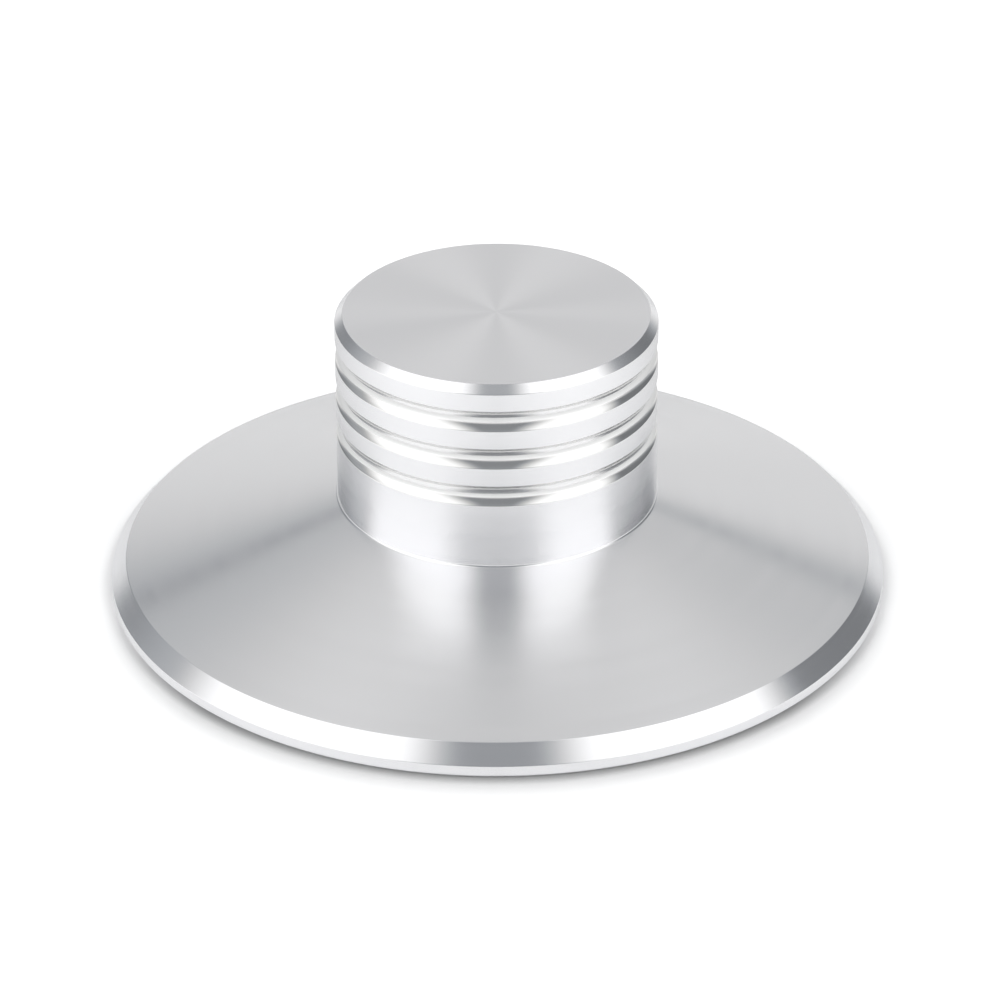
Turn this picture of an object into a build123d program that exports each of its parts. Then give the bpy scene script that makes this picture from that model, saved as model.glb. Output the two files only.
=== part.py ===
"""Record weight clamp: a single turned aluminium puck that drops over a turntable spindle.

A flat base with a bright chamfered rim, a straight cone up to the finger knob, three round
grip grooves in the knob, and a blind bore from below for the spindle.

Frame: the spindle axis is Z, with Z = 0 on the resting face. Millimetres.
"""

import math
import os

from build123d import *

# Base: the disc that bears on the record label
BASE_DIAMETER = 78.0
BASE_EDGE_BREAK = 0.3          # 45 degree break where the resting face meets the rim
RIM_BAND = 0.95                # straight band of the rim, between the break and the chamfer
RIM_CHAMFER_RUN = 1.55         # radial width of the bright rim chamfer
RIM_CHAMFER_RISE = 1.75        # height of the bright rim chamfer

# Knob: the part held between finger and thumb
OVERALL_HEIGHT = 29.5
KNOB_DIAMETER = 32.0
KNOB_FOOT_HEIGHT = 9.7         # where the cone would meet the knob's wall
KNOB_TOP_CHAMFER = 0.8         # 45 degree chamfer round the top face
FOOT_FILLET = 0.3              # tool radius left in the corner between cone and knob

# Grip grooves: round bottomed, turned into the knob's wall
GROOVE_COUNT = 3
GROOVE_WIDTH = 2.15
GROOVE_DEPTH = 0.46
GROOVE_LAND = 1.95             # straight wall between two grooves
TOP_LAND = 1.85                # straight wall between the top chamfer and the first groove

# Spindle bore: blind, drilled from the resting face
SPINDLE_DIAMETER = 7.24        # standard record spindle
SPINDLE_CLEARANCE = 0.13       # radial gap round the spindle
BORE_DEPTH = 20.0              # full diameter, measured from the resting face
BORE_LEAD_IN = 0.6             # 45 degree chamfer at the bore's mouth
DRILL_POINT_ANGLE = 118.0      # cone that the drill leaves at the blind end

# Sizes that follow from the ones above
base_radius = BASE_DIAMETER / 2
knob_radius = KNOB_DIAMETER / 2
bore_radius = SPINDLE_DIAMETER / 2 + SPINDLE_CLEARANCE
rim_top = BASE_EDGE_BREAK + RIM_BAND
cone_edge_radius = base_radius - RIM_CHAMFER_RUN
cone_edge_height = rim_top + RIM_CHAMFER_RISE
drill_point_height = bore_radius / math.tan(math.radians(DRILL_POINT_ANGLE / 2))
groove_pitch = GROOVE_WIDTH + GROOVE_LAND
groove_arc_radius = ((GROOVE_WIDTH / 2) ** 2 + GROOVE_DEPTH**2) / (2 * GROOVE_DEPTH)
groove_axis_radius = knob_radius - GROOVE_DEPTH + groove_arc_radius
first_groove_height = OVERALL_HEIGHT - KNOB_TOP_CHAMFER - TOP_LAND - GROOVE_WIDTH / 2


def turned_blank():
    """The outside as the lathe leaves it before grooving: base, rim, cone and knob in one revolve."""
    with BuildPart() as blank:
        with BuildSketch(Plane.XZ):
            with BuildLine():
                Polyline(
                    (0, 0),
                    (base_radius - BASE_EDGE_BREAK, 0),
                    (base_radius, BASE_EDGE_BREAK),
                    (base_radius, rim_top),
                    (cone_edge_radius, cone_edge_height),
                    (knob_radius, KNOB_FOOT_HEIGHT),
                    (knob_radius, OVERALL_HEIGHT - KNOB_TOP_CHAMFER),
                    (knob_radius - KNOB_TOP_CHAMFER, OVERALL_HEIGHT),
                    (0, OVERALL_HEIGHT),
                    close=True,
                )
            make_face()
        revolve(axis=Axis.Z)
        foot_corner = blank.edges().filter_by(GeomType.CIRCLE).filter_by(at_knob_foot)
        fillet(foot_corner, FOOT_FILLET)
    return blank.part


def at_knob_foot(edge):
    """True for the inner corner where the cone runs into the knob's wall."""
    here = edge.arc_center.Z
    return math.isclose(edge.radius, knob_radius, abs_tol=1e-6) and math.isclose(
        here, KNOB_FOOT_HEIGHT, abs_tol=1e-6
    )


def grip_grooves():
    """The rings of metal that the round-nosed tool takes out of the knob, from the top down."""
    with BuildPart() as rings:
        for index in range(GROOVE_COUNT):
            height = first_groove_height - index * groove_pitch
            with BuildSketch(Plane.XZ):
                with Locations((groove_axis_radius, height)):
                    Circle(groove_arc_radius)
            revolve(axis=Axis.Z)
    return rings.part


def spindle_bore():
    """The blind hole for the spindle: lead-in at the mouth, straight wall, drill point at the end."""
    with BuildPart() as bore:
        with BuildSketch(Plane.XZ):
            with BuildLine():
                Polyline(
                    (0, 0),
                    (bore_radius + BORE_LEAD_IN, 0),
                    (bore_radius, BORE_LEAD_IN),
                    (bore_radius, BORE_DEPTH),
                    (0, BORE_DEPTH + drill_point_height),
                    close=True,
                )
            make_face()
        revolve(axis=Axis.Z)
    return bore.part


def weight_body():
    """The finished piece."""
    body = turned_blank() - grip_grooves() - spindle_bore()
    body.label = "weight_body"
    return body


os.makedirs("parts", exist_ok=True)
body = weight_body()
export_step(body, "parts/weight_body.step")
size = body.bounding_box().size
print(f"weight_body: {size.X:.2f} x {size.Y:.2f} x {size.Z:.2f} mm, {body.volume / 1000:.2f} cm3")
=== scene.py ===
# %% [markdown]
# # A turned aluminium record weight
# One piece of bright aluminium, shaped on a lathe: a flat base with a bright chamfer, a long cone, a
# finger knob with three round grip grooves, and a blind hole underneath for the turntable's spindle.
# Everything is round, so one half-outline, spun about the spindle axis, makes the whole part, and
# most of this lesson is about how turned metal is lit and finished.

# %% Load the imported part
import bpy
import math
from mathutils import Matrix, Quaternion, Vector


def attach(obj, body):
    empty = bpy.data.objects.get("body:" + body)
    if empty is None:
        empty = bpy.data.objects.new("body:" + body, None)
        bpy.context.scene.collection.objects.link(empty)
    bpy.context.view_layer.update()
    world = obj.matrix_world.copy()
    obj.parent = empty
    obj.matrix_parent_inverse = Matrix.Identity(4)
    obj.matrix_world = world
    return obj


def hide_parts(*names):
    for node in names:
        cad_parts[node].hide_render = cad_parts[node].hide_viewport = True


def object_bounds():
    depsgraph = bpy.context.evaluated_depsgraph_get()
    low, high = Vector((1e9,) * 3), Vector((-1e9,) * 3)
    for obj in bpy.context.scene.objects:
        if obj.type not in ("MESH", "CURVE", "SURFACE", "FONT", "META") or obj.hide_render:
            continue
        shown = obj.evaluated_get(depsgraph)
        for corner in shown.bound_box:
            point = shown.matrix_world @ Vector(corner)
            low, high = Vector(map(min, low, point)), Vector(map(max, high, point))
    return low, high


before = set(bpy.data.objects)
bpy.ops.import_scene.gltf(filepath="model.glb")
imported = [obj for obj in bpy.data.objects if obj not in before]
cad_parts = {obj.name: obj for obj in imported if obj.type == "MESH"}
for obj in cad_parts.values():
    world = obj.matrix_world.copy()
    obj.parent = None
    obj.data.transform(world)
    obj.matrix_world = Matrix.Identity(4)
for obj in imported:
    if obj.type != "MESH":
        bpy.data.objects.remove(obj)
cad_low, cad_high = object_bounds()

MM = 0.001
NODE = "weight_body"
print("CAD box in mm:", [round(side / MM, 2) for side in cad_high - cad_low])

# %% [markdown]
# ## The camera
# The picture was taken from a little under 30 degrees above the table, from about half a metre, with
# a long lens. The camera aims at a point on the axis, just under the knob's foot, and is turned
# a fifth of a degree because the photograph leans by that much.

# %% Aim the camera
CAMERA_ELEVATION = math.radians(29.26)
CAMERA_DISTANCE = 492 * MM
CAMERA_LENS = 176.1
CAMERA_ROLL = math.radians(-0.207)
NEAR_CLIP, FAR_CLIP = 10 * MM, 20
aim_point = Vector((0.29, 0.0, 8.26)) * MM

back = Vector((0, -math.cos(CAMERA_ELEVATION), math.sin(CAMERA_ELEVATION)))
camera_data = bpy.data.cameras.new("camera")
camera_data.lens = CAMERA_LENS
camera_data.clip_start = NEAR_CLIP
camera_data.clip_end = FAR_CLIP
camera = bpy.data.objects.new("camera", camera_data)
bpy.context.scene.collection.objects.link(camera)
camera.location = aim_point + back * CAMERA_DISTANCE
camera.rotation_mode = "QUATERNION"
camera.rotation_quaternion = (-back).to_track_quat("-Z", "Y") @ Quaternion((0, 0, 1), CAMERA_ROLL)
bpy.context.scene.camera = camera
print("camera stands", round(camera.location.length / MM), "mm from the part")

# %% [markdown]
# ## The half-outline
# A lathe follows a half-outline, so that is what is drawn first. It is a list of corners, each one a
# distance from the axis and a height: up the bore, out along the underside, and back up over the
# rim, the cone and the knob. Straight cuts need only their two ends. The overall size comes from
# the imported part, and the rest are sizes that a turner would find on the drawing.

# %% The base: resting face, rim, bright chamfer and cone
base_radius = (cad_high.x - cad_low.x) / 2
base_edge_break = 0.3 * MM
rim_band = 0.95 * MM
rim_chamfer_run = 1.55 * MM
rim_chamfer_rise = 1.75 * MM
knob_radius = 16.0 * MM
knob_foot_height = 9.7 * MM

rim_top = base_edge_break + rim_band
cone_edge = Vector((base_radius - rim_chamfer_run, rim_top + rim_chamfer_rise))
cone_top = Vector((knob_radius, knob_foot_height))
cone_slope = (cone_top - cone_edge).normalized()
cone_angle = math.atan2(cone_slope.y, -cone_slope.x)
print("the cone rises at", round(math.degrees(cone_angle), 1), "degrees")

# %% [markdown]
# The bore is drilled from below. A twist drill leaves a pointed end, and a countersink breaks the
# edge at the mouth so that the part finds the spindle by itself.

# %% The bore
bore_radius = 3.75 * MM
bore_depth = 20.0 * MM
bore_lead_in = 0.6 * MM
drill_point_angle = math.radians(118)
drill_point = bore_radius / math.tan(drill_point_angle / 2)

outline = [
    Vector((0, bore_depth + drill_point)),
    Vector((bore_radius, bore_depth)),
    Vector((bore_radius, bore_lead_in)),
    Vector((bore_radius + bore_lead_in, 0)),
    Vector((base_radius - base_edge_break, 0)),
    Vector((base_radius, base_edge_break)),
    Vector((base_radius, rim_top)),
    cone_edge,
]
print("bore, underside, rim and chamfer:", len(outline), "corners")

# %% [markdown]
# Where the cone runs into the knob's wall the tool leaves its own small radius, and the three grip
# grooves are cut by a round-nosed tool. These are arcs, so one helper steps along an arc and gives
# its points. Sixteen steps to a groove keep its reflections smooth in a close view.
#
# Smooth shading turns the normal evenly across each face, so a long face beside a tiny arc would share
# in the arc's turn and look bent. A support point a hair outside each end of the foot's arc keeps the
# turn inside the arc. The grooves need none, because their edges are broken by a bevel further on.


# %% The foot radius and the grooves
def arc(centre, radius, start, end, steps):
    """Points on an arc, both ends included; angles from the outward direction, upward positive."""
    turns = [start + (end - start) * step / steps for step in range(steps + 1)]
    return [centre + radius * Vector((math.cos(turn), math.sin(turn))) for turn in turns]


FOOT_STEPS, GROOVE_STEPS = 12, 16
foot_fillet = 0.3 * MM
support = 0.05 * MM
reach = foot_fillet * math.tan((math.pi / 2 - cone_angle) / 2)
foot_centre = Vector((knob_radius + foot_fillet, knob_foot_height + reach))
foot = arc(foot_centre, foot_fillet, -math.pi / 2 - cone_angle, -math.pi, FOOT_STEPS)
outline += [foot[0] - cone_slope * support, *foot, foot[-1] + Vector((0, support))]

overall_height = cad_high.z
knob_top_chamfer = 0.8 * MM
top_land = 1.85 * MM
groove_count = 3
groove_width = 2.15 * MM
groove_depth = 0.46 * MM
groove_land = 1.95 * MM
groove_radius = ((groove_width / 2) ** 2 + groove_depth ** 2) / (2 * groove_depth)
groove_half_turn = math.asin(groove_width / 2 / groove_radius)
first_groove = overall_height - knob_top_chamfer - top_land - groove_width / 2
for index in reversed(range(groove_count)):
    height = first_groove - index * (groove_width + groove_land)
    centre = Vector((knob_radius - groove_depth + groove_radius, height))
    lower_lip, upper_lip = math.pi + groove_half_turn, math.pi - groove_half_turn
    outline += arc(centre, groove_radius, lower_lip, upper_lip, GROOVE_STEPS)

outline += [
    Vector((knob_radius, overall_height - knob_top_chamfer)),
    Vector((knob_radius - knob_top_chamfer, overall_height)),
    Vector((0, overall_height)),
]
print("the whole outline:", len(outline), "corners")

# %% [markdown]
# The chain itself starts as a plane, because Blender adds no single point from the menu: its four
# corners are merged into one, which is moved to the first corner and then extruded, point after
# point, along the outline.

# %% Draw it as a chain of edges
bpy.ops.object.select_all(action="DESELECT")
bpy.ops.mesh.primitive_plane_add(size=MM)
weight = bpy.context.object
weight.name = "turned_weight"
bpy.ops.object.mode_set(mode="EDIT")
bpy.ops.mesh.select_all(action="SELECT")
bpy.ops.mesh.merge(type="CENTER")
bpy.ops.transform.translate(value=(outline[0].x, 0, outline[0].y))
for here, there in zip(outline, outline[1:]):
    step = there - here
    bpy.ops.mesh.extrude_vertices_move(TRANSFORM_OT_translate={"value": (step.x, 0, step.y)})
bpy.ops.object.mode_set(mode="OBJECT")
print("drawn:", len(weight.data.vertices), "points,", len(weight.data.edges), "edges")

# %% [markdown]
# ## Spinning it
# Spin sweeps the chain round the spindle axis, as the lathe does. The Screw modifier would do the
# same, but Spin leaves a plain mesh that can be worked on at once. The two ends on the axis come out
# as piles of points and the last step lands on the first, so doubles are merged before the normals
# are turned outward. One step to a degree keeps the rim round even when it fills the picture.

# %% Spin, merge and turn the normals outward
SPIN_STEPS = 360
MERGE_DISTANCE = 0.001 * MM
bpy.ops.object.mode_set(mode="EDIT")
bpy.ops.mesh.select_all(action="SELECT")
bpy.ops.mesh.spin(steps=SPIN_STEPS, angle=math.tau, center=(0, 0, 0), axis=(0, 0, 1))
bpy.ops.mesh.select_all(action="SELECT")
bpy.ops.mesh.remove_doubles(threshold=MERGE_DISTANCE)
bpy.ops.mesh.normals_make_consistent(inside=False)
bpy.ops.object.mode_set(mode="OBJECT")
print("spun:", len(weight.data.polygons), "faces")

# %% [markdown]
# ## Breaking the edges
# No machined edge is perfectly sharp: a touch with a file or a burnishing tool leaves a radius of
# a few hundredths, and that is what catches the light as a thin line. A Bevel modifier, limited by
# angle, finds the real corners and leaves the smooth arcs alone. Hardened normals keep the flat
# faces flat, because all the turning of the normal then happens inside the little radius.

# %% Break the sharp edges
EDGE_RADIUS = 0.05 * MM
EDGE_SEGMENTS = 2
SHARPEST_SMOOTH_TURN = math.radians(20)
bevel = weight.modifiers.new("edge_break", "BEVEL")
bevel.width = EDGE_RADIUS
bevel.segments = EDGE_SEGMENTS
bevel.limit_method = "ANGLE"
bevel.angle_limit = SHARPEST_SMOOTH_TURN
bevel.harden_normals = True
bpy.ops.object.shade_smooth()
bpy.ops.object.modifier_apply(modifier=bevel.name)
print("edges broken:", len(weight.data.polygons), "faces")

# %% [markdown]
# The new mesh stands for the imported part's one node and rides on its one body, so it stays exactly
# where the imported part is.

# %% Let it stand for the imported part
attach(weight, "root")
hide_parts(NODE)
print(weight.name, "stands for", NODE)

# %% [markdown]
# ## Turned aluminium
# A lathe tool leaves rings finer than the eye can part. Across the rings the metal is rough, and
# along them it is smooth, so a highlight stretches out across the rings: that is the pale fan on the
# knob's top and the streaks that run down the cone. The shader's anisotropy does this once it knows
# which way the rings run, and a Tangent node that circles the Z axis tells it.
#
# On top of that come the rings that can just be seen. A noise that reads only the distance from the
# axis and the height, and never the angle, is the same all the way round, so it draws rings on
# every face, flat or upright. A fine one moves the normal a little, and a broad one lets the
# roughness drift, as it does when the tool warms up and wears. A ring texture would need its rings
# set out again for each face, and a picture would have to be unwrapped.


# %% A helper that wires nodes
def add_node(tree, kind, *values, output=0, **settings):
    """Add a node, set or link its inputs in order (None skips one), and return one of its outputs."""
    made = tree.nodes.new(kind)
    for name, setting in settings.items():
        setattr(made, name, setting)
    for socket, value in zip(made.inputs, values):
        if isinstance(value, bpy.types.NodeSocket):
            tree.links.new(value, socket)
        elif value is not None:
            socket.default_value = value
    return made.outputs[output]


# %% A helper for turned metal
ALUMINIUM = (0.905, 0.906, 0.92, 1)
RINGS_ACROSS = 0.25
RING_PITCH = 0.16 * MM
DRIFT_PITCH = 1.4 * MM
NOISE_LOW, NOISE_HIGH = 0.3, 0.7
SKIN_ROUGHNESS = 0.6


def turned_finish(name, roughness, anisotropy, ring_depth, drift=0.12, metal=ALUMINIUM, skin=0):
    """Metal with rings left by the tool: highlights stretch across the rings."""
    material = bpy.data.materials.new(name)
    material.use_nodes = True
    tree = material.node_tree
    shader = tree.nodes["Principled BSDF"]
    shader.inputs["Base Color"].default_value = metal
    shader.inputs["Metallic"].default_value = 1
    shader.inputs["Roughness"].default_value = roughness
    shader.inputs["Anisotropic"].default_value = anisotropy
    shader.inputs["Anisotropic Rotation"].default_value = RINGS_ACROSS
    shader.inputs["Coat Weight"].default_value = skin
    shader.inputs["Coat Roughness"].default_value = SKIN_ROUGHNESS
    around = add_node(tree, "ShaderNodeTangent", direction_type="RADIAL", axis="Z")
    tree.links.new(around, shader.inputs["Tangent"])

    place = add_node(tree, "ShaderNodeTexCoord", output="Object")
    flat = add_node(tree, "ShaderNodeVectorMath", place, (1, 1, 0), operation="MULTIPLY")
    radius = add_node(tree, "ShaderNodeVectorMath", flat, operation="LENGTH", output="Value")
    height = add_node(tree, "ShaderNodeSeparateXYZ", place, output="Z")
    ring_place = add_node(tree, "ShaderNodeCombineXYZ", radius, height)

    if drift:
        wear_scale = 1 / DRIFT_PITCH
        wear = add_node(tree, "ShaderNodeTexNoise", ring_place, None, wear_scale, noise_dimensions="2D")
        least, most = roughness * (1 - drift), roughness * (1 + drift)
        drifted = add_node(tree, "ShaderNodeMapRange", wear, NOISE_LOW, NOISE_HIGH, least, most)
        tree.links.new(drifted, shader.inputs["Roughness"])

    ring_scale = 1 / RING_PITCH
    rings = add_node(tree, "ShaderNodeTexNoise", ring_place, None, ring_scale, noise_dimensions="2D")
    bump = tree.nodes.new("ShaderNodeBump")
    bump.inputs["Distance"].default_value = ring_depth
    tree.links.new(rings, bump.inputs["Height"])
    tree.links.new(bump.outputs["Normal"], shader.inputs["Normal"])
    print(name, "has", len(tree.nodes), "nodes")
    return material


# %% [markdown]
# The cone, the rim, the lands of the knob and the underside keep their satin from the lathe. They were
# then anodised: a clear, hard and faintly cloudy skin grows on the metal and lays a pale veil over
# what it mirrors. A rough coat over the metal is that skin, and a coat is simpler than mixing two
# shaders.

# %% The satin faces
satin = turned_finish("turned_satin", roughness=0.20, anisotropy=0.8, ring_depth=0.001 * MM, skin=1)

# %% [markdown]
# The chamfers and the radius at the knob's foot were cut again afterwards, with a polished diamond, so
# they are bare metal and mirror the room more clearly than the faces beside them. The grooves were cut
# by the same kind of tool. They mirror more sharply still, and their metal is set a little darker than
# the rest.

# %% The bright cuts and the grooves
GROOVE_METAL = (0.82, 0.82, 0.815, 1)
bright = turned_finish("bright_cut", roughness=0.17, anisotropy=0.8, ring_depth=0.0003 * MM)
grooved = turned_finish(
    "groove_cut", roughness=0.10, anisotropy=0.8, ring_depth=0.0003 * MM, metal=GROOVE_METAL
)

# %% [markdown]
# The knob's flat top was faced off last, in one slow pass from the edge to the middle. Such a face is
# the roughest across its rings and nearly mirror-smooth along them, which is why its fan is so wide
# and even. The pass is short, so the tool has no time to wear, and the roughness doesn't drift.

# %% The faced top
faced = turned_finish("faced_top", roughness=0.28, anisotropy=0.95, ring_depth=0.0001 * MM, drift=0)

# %% [markdown]
# ## Each face gets the finish of its cut
# The finishes are dealt out face by face, by where a face lies on the outline and which way it looks.
# That needs no selecting by hand, and it still holds when a size changes.

# %% Deal out the finishes
FINISHES = [satin, bright, grooved, faced]
FACING_UP = 0.95
WALL_TOLERANCE = 0.003 * MM


def finish_of(face):
    """The finish that a face has from the cut that made it."""
    radius = face.center.xy.length
    height = face.center.z
    leaning = face.normal.z < FACING_UP
    outside_bore = radius > bore_radius + bore_lead_in
    above_foot = height > knob_foot_height + foot_fillet
    if height > overall_height - WALL_TOLERANCE and not leaning:
        return faced
    if height > overall_height - knob_top_chamfer and leaning:
        return bright
    if above_foot and outside_bore and leaning and radius < knob_radius - WALL_TOLERANCE:
        return grooved
    on_rim_chamfer = radius > cone_edge.x and height > rim_top
    near_foot = outside_bore and not above_foot and radius < knob_radius + foot_fillet
    on_foot = near_foot and 1 - FACING_UP < face.normal.z < FACING_UP
    return bright if on_rim_chamfer or on_foot else satin


for finish in FINISHES:
    weight.data.materials.append(finish)
for face in weight.data.polygons:
    face.material_index = FINISHES.index(finish_of(face))
for index, finish in enumerate(FINISHES):
    count = sum(face.material_index == index for face in weight.data.polygons)
    print(finish.name, "on", count, "faces")

# %% [markdown]
# ## The sheet
# The weight stands on a small white sheet, as on a photographer's table. It is made no larger than
# the picture needs, because polished metal also shows what lies beyond its edge: the lower walls of
# the grooves look out over the sheet and mirror the room behind it. It lies a hair below the part's
# resting face, so that the two faces don't share one plane and flicker.

# %% Lay the sheet
SHEET_SIZE = 440 * MM
SHEET_GAP = 0.02 * MM
bpy.ops.object.select_all(action="DESELECT")
bpy.ops.mesh.primitive_plane_add(size=SHEET_SIZE)
floor = bpy.context.object
floor.name = "floor"
bpy.ops.object.mode_set(mode="EDIT")
bpy.ops.mesh.select_all(action="SELECT")
bpy.ops.transform.translate(value=(0, 0, -SHEET_GAP))
bpy.ops.object.mode_set(mode="OBJECT")
paper = bpy.data.materials.new("white_sheet")
paper.use_nodes = True
tree = paper.node_tree
tree.nodes.clear()
floor.data.materials.append(paper)
print("sheet of", round(SHEET_SIZE / MM), "mm")

# %% [markdown]
# Two softboxes stand beside the table, a little in front, so the sheet is brighter near them, and the
# knob's wall shows it. The lamps will be painted on the world, endlessly far away, and from there they
# cannot make a pool of light, so the pools are painted on the sheet: the colour falls off
# with the distance from the foot of a lamp. Taking the sideways distance without its sign serves both.

# %% The pools of light on it
LAMP_FOOT = (190 * MM, -150 * MM, 0)
POOL_INNER, POOL_OUTER = 30 * MM, 250 * MM
POOL_BRIGHT, POOL_DIM = 1.95, 0.93
place = add_node(tree, "ShaderNodeTexCoord", output="Object")
across = add_node(tree, "ShaderNodeSeparateXYZ", place, output="X")
along = add_node(tree, "ShaderNodeSeparateXYZ", place, output="Y")
sideways = add_node(tree, "ShaderNodeMath", across, operation="ABSOLUTE")
folded = add_node(tree, "ShaderNodeCombineXYZ", sideways, along)
from_lamp = add_node(
    tree, "ShaderNodeVectorMath", folded, LAMP_FOOT, operation="DISTANCE", output="Value"
)
pools = add_node(tree, "ShaderNodeMapRange", from_lamp, POOL_INNER, POOL_OUTER, POOL_BRIGHT, POOL_DIM)
print("lamps stand at", LAMP_FOOT)

# %% [markdown]
# The camera itself sees plain white, with a soft dark line along the rim. The metal mirrors so much
# light into that corner that hardly any shadow would be left. An Ambient Occlusion node measures
# how closed in the sheet is within a few millimetres, and a power keeps the dark close to the rim.
# The line is deepest in front and fades at the two sides, where the softboxes shine into the corner.

# %% The contact shade
SHEET_WHITE = 1.6
SHADE_REACH = 8 * MM
SHADE_SAMPLES = 8
SHADE_FALLOFF = 5
FRONT_SHADE, SIDE_SHADE = 0.25, 0.65
SIDE_FACING, FRONT_FACING = 0.2, 0.7
AHEAD = (0, -1, 0)
outward = add_node(tree, "ShaderNodeVectorMath", place, operation="NORMALIZE")
facing = add_node(
    tree, "ShaderNodeVectorMath", outward, AHEAD, operation="DOT_PRODUCT", output="Value"
)
deepest = add_node(
    tree, "ShaderNodeMapRange", facing, SIDE_FACING, FRONT_FACING, SIDE_SHADE, FRONT_SHADE
)
openness = add_node(
    tree, "ShaderNodeAmbientOcclusion", None, SHADE_REACH, output="AO", samples=SHADE_SAMPLES
)
in_the_open = add_node(tree, "ShaderNodeMath", openness, SHADE_FALLOFF, operation="POWER")
shade = add_node(tree, "ShaderNodeMapRange", in_the_open, 0, 1, deepest, 1)
shaded = add_node(tree, "ShaderNodeMath", shade, SHEET_WHITE, operation="MULTIPLY")
print("contact shade within", round(SHADE_REACH / MM), "mm of the rim")

# %% [markdown]
# The sheet now has two colours, and a Light Path node picks one: the shaded white for the camera, and
# the pools for the metal.

# %% The sheet's two colours
seen_by_camera = add_node(tree, "ShaderNodeLightPath", output="Is Camera Ray")
white = add_node(tree, "ShaderNodeMapRange", seen_by_camera, 0, 1, pools, shaded)
sheet = add_node(tree, "ShaderNodeBsdfDiffuse", white)
sheet_output = tree.nodes.new("ShaderNodeOutputMaterial")
tree.links.new(sheet, sheet_output.inputs["Surface"])
print("sheet painted with", len(tree.nodes), "nodes")

# %% [markdown]
# ## The studio
# Polished metal has no look of its own: it shows the room. The photograph's room can be read off the
# part. A bright strip on each side of every chamfer is a tall softbox, the grey patch in the middle
# is the gap between them where the camera stands, the dark ends are the unlit corners behind the
# softboxes, and the even grey of the knob's top is the wall behind.
#
# Lamps could be built for all that, but they would stand in the way when the part is looked at from
# another side. So the room is painted on the world instead, as brightness by direction: azimuth
# from the camera, positive to the right, and elevation above the floor, both in degrees. Each item is
# a soft-edged mask, laid over the one before. An edge is a pair of numbers: where its middle lies and
# how wide it fades. A negative width makes the mask end there instead of begin.

# %% Directions and masks
scene = bpy.context.scene
scene.view_settings.view_transform = "Standard"
world = bpy.data.worlds.new("studio")
scene.world = world
world.use_nodes = True
room = world.node_tree
room.nodes.clear()


def calculate(operation, *values):
    """One step of arithmetic on the room's numbers."""
    return add_node(room, "ShaderNodeMath", *values, operation=operation)


def soft_step(value, middle, width):
    """Rises smoothly from 0 to 1 as the value passes the middle; a negative width falls."""
    start = calculate("SUBTRACT", middle, width / 2)
    end = calculate("ADD", middle, width / 2)
    return add_node(room, "ShaderNodeMapRange", value, start, end, interpolation_type="SMOOTHSTEP")


def lay_over(brightness, mask, level):
    """The brightness where the mask is 0, the new level where it is 1."""
    return add_node(room, "ShaderNodeMapRange", mask, 0, 1, brightness, level)


look = add_node(room, "ShaderNodeTexCoord", output="Generated")
look_x = add_node(room, "ShaderNodeSeparateXYZ", look, output="X")
look_y = add_node(room, "ShaderNodeSeparateXYZ", look, output="Y")
look_z = add_node(room, "ShaderNodeSeparateXYZ", look, output="Z")
towards_camera = calculate("MULTIPLY", look_y, -1)
azimuth = calculate("DEGREES", calculate("ARCTAN2", look_x, towards_camera))
elevation = calculate("DEGREES", calculate("ARCSINE", look_z))
aside = calculate("ABSOLUTE", azimuth)
LEFT_HALF = 0, -20
on_left = soft_step(azimuth, *LEFT_HALF)
print("directions worked out with", len(room.nodes), "nodes")

# %% [markdown]
# The corners get no light of their own. The left one is paler than the right, as the ends of the
# chamfers tell, and both are darkest farther back and fade upward into a pale ceiling, the left one
# more slowly.

# %% The unlit corners and the ceiling
RIGHT_CORNER, RIGHT_CORNER_FAR = 0.22, 0.19
LEFT_CORNER, LEFT_CORNER_FAR = 0.45, 0.27
FAR_EDGE = 120, 28
CEILING = 0.86
RIGHT_CEILING_EDGE, LEFT_CEILING_EDGE = (44, 42), (47, 56)
farther = soft_step(aside, *FAR_EDGE)
right_corner = lay_over(RIGHT_CORNER, farther, RIGHT_CORNER_FAR)
left_corner = lay_over(LEFT_CORNER, farther, LEFT_CORNER_FAR)
corners = lay_over(right_corner, on_left, left_corner)
high_on_right = soft_step(elevation, *RIGHT_CEILING_EDGE)
high_on_left = soft_step(elevation, *LEFT_CEILING_EDGE)
high_up = lay_over(high_on_right, on_left, high_on_left)
brightness = lay_over(corners, high_up, CEILING)
print("corners from", RIGHT_CORNER_FAR, "to", LEFT_CORNER, "under a ceiling of", CEILING)

# %% [markdown]
# The cone looks past the knob at the wall behind, and shows it as an even grey. The wall is a little
# brighter low down, and a pale seam in its middle lights the fan on the knob's top.

# %% The wall behind
BACK_WALL, UPPER_WALL = 0.72, 0.62
UPPER_EDGE = 25, 4
WALL_SEAM = 0.77
SEAM_SIDE, SEAM_TOP = (177, 6), (45, -20)
WALL_RIGHT, WALL_LEFT, WALL_TOP = (145, 25), (-154, -25), (80, -40)
wall = lay_over(BACK_WALL, soft_step(elevation, *UPPER_EDGE), UPPER_WALL)
seam = calculate("MULTIPLY", soft_step(aside, *SEAM_SIDE), soft_step(elevation, *SEAM_TOP))
wall = lay_over(wall, seam, WALL_SEAM)
wall_on_right = soft_step(azimuth, *WALL_RIGHT)
wall_on_left = soft_step(azimuth, *WALL_LEFT)
below_ceiling = soft_step(elevation, *WALL_TOP)
behind = calculate("MULTIPLY", calculate("ADD", wall_on_right, wall_on_left), below_ceiling)
brightness = lay_over(brightness, behind, wall)
print("wall behind from", UPPER_WALL, "to", WALL_SEAM)

# %% [markdown]
# Two dark lines fan out from the knob's foot over the flanks of the cone. A line that runs straight
# down a cone is the picture of something level in the room, because along it only the elevation
# stays the same. So a thin, dim rail is hung on each side of the wall, at about 30 degrees.

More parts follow.
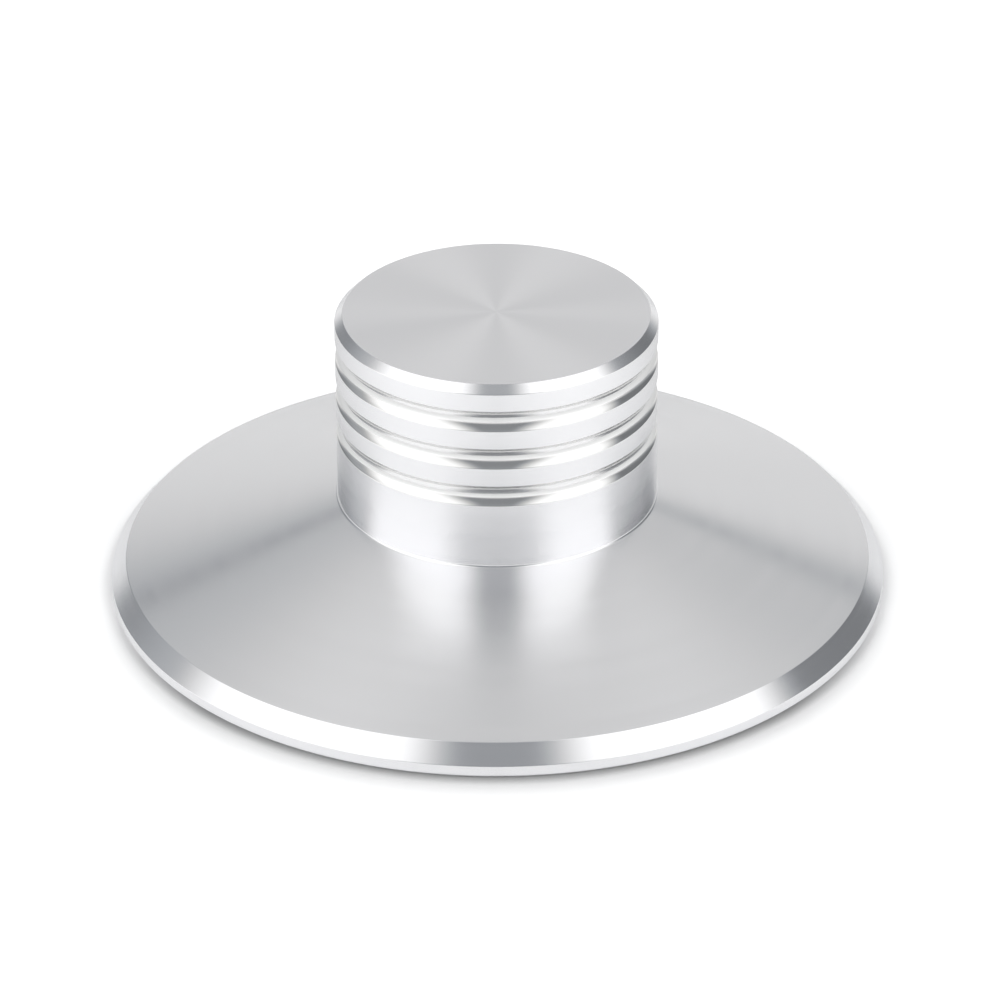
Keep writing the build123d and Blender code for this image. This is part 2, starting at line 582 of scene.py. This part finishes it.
# %% The rails on the wall
RIGHT_RAIL, LEFT_RAIL = 29.4, 31.3
RAIL_WIDTH = 3
RAIL_LIGHT = 0.6
RAIL_START, RAIL_END = (138, 16), (168, -8)
rail = lay_over(RIGHT_RAIL, on_left, LEFT_RAIL)
from_rail = calculate("ABSOLUTE", calculate("SUBTRACT", elevation, rail))
beside = calculate("MULTIPLY", soft_step(aside, *RAIL_START), soft_step(aside, *RAIL_END))
on_rail = calculate("MULTIPLY", soft_step(from_rail, RAIL_WIDTH / 2, -RAIL_WIDTH), beside)
brightness = calculate("MULTIPLY", brightness, lay_over(1, on_rail, RAIL_LIGHT))
print("rails at", RIGHT_RAIL, "and", LEFT_RAIL, "degrees")

# %% [markdown]
# Between the softboxes lies the dark side of the room, where the camera stands. It is the grey patch
# in the middle of each chamfer and groove, and the dark streak down the front of the cone.

# %% The gap in front
FRONT_GAP, UPPER_GAP = 0.29, 0.37
GAP_LOW, GAP_HIGH = 40, 65
GAP_SIDE, GAP_TOP = (60, -20), (74, -40)
ahead = calculate("MULTIPLY", soft_step(aside, *GAP_SIDE), soft_step(elevation, *GAP_TOP))
gap = add_node(room, "ShaderNodeMapRange", elevation, GAP_LOW, GAP_HIGH, FRONT_GAP, UPPER_GAP)
brightness = lay_over(brightness, ahead, gap)
print("gap in front from", FRONT_GAP, "to", UPPER_GAP)

# %% [markdown]
# Low down, past the edge of the sheet, the pale table goes on. The knob's wall and the middle of each
# groove look that way. Towards the corners the table gets less light.

# %% The band along the horizon
HORIZON, CORNER_HORIZON = 0.95, 0.5
HORIZON_TOP = 1, -13
CORNER_START, CORNER_END = (100, 20), (135, -16)
at_corner = calculate("MULTIPLY", soft_step(aside, *CORNER_START), soft_step(aside, *CORNER_END))
horizon = lay_over(HORIZON, at_corner, CORNER_HORIZON)
brightness = lay_over(brightness, soft_step(elevation, *HORIZON_TOP), horizon)
print("horizon at", HORIZON, "and", CORNER_HORIZON, "in the corners")

# %% [markdown]
# The softboxes come last, because they stand before everything else. They lean in over the gap, the
# right one leans back more than the left one, and their cloth makes every edge soft. They are
# a little brighter than white paper, as a lamp is, so their picture in a bright cut is pure white.

# %% The two softboxes
SOFTBOX = 1.27
FRONT_FADE, REAR_FADE = 28, 22
GAP_HALF_LOW, GAP_HALF_HIGH = 33, 25
LEAN_END = 35
RIGHT_REAR, RIGHT_LEAN = 81.5, 0.33
LEFT_REAR, LEFT_LEAN = 96, 0.08
SOFTBOX_TOP = 74, -15
gap_half_width = add_node(
    room, "ShaderNodeMapRange", elevation, 0, LEAN_END, GAP_HALF_LOW, GAP_HALF_HIGH
)
right_rear_edge = calculate("MULTIPLY_ADD", elevation, RIGHT_LEAN, RIGHT_REAR)
left_rear_edge = calculate("MULTIPLY_ADD", elevation, LEFT_LEAN, LEFT_REAR)
rear_edge = lay_over(right_rear_edge, on_left, left_rear_edge)
past_gap = soft_step(aside, gap_half_width, FRONT_FADE)
before_rear_edge = soft_step(aside, rear_edge, -REAR_FADE)
below_top_edge = soft_step(elevation, *SOFTBOX_TOP)
softboxes = calculate("MULTIPLY", calculate("MULTIPLY", past_gap, before_rear_edge), below_top_edge)
brightness = lay_over(brightness, softboxes, SOFTBOX)
print("softboxes of", SOFTBOX, "with a gap of", 2 * GAP_HALF_HIGH, "degrees between them")

# %% [markdown]
# Right overhead the ceiling is dim again. The camera must not see any of this room past the sheet, so
# for its own rays the world is plain white, and the picture's background with it.

# %% The zenith, and white where the camera looks past the sheet
ZENITH = 0.4
ZENITH_EDGE = 78, 12
brightness = lay_over(brightness, soft_step(elevation, *ZENITH_EDGE), ZENITH)
straight_on = add_node(room, "ShaderNodeLightPath", output="Is Camera Ray")
brightness = lay_over(brightness, straight_on, 1)
print("zenith of", ZENITH, "and a white background")

# %% [markdown]
# What the lamps don't reach is lit by daylight, which is a little bluer than they are. So the darker
# a place in the room is, the cooler its grey, and the dark ends of the chamfers look cool as well.

# %% The cool tint of unlit places
DAYLIGHT_RED, DAYLIGHT_BLUE = 0.965, 1.045
UNLIT_EDGE = 0.5, -0.3
unlit = soft_step(brightness, *UNLIT_EDGE)
red = lay_over(1, unlit, DAYLIGHT_RED)
blue = lay_over(1, unlit, DAYLIGHT_BLUE)
tint = add_node(room, "ShaderNodeCombineColor", red, 1, blue)
light = add_node(room, "ShaderNodeBackground", tint, brightness)
room_output = room.nodes.new("ShaderNodeOutputWorld")
room.links.new(light, room_output.inputs["Surface"])
print("studio painted with", len(room.nodes), "nodes")
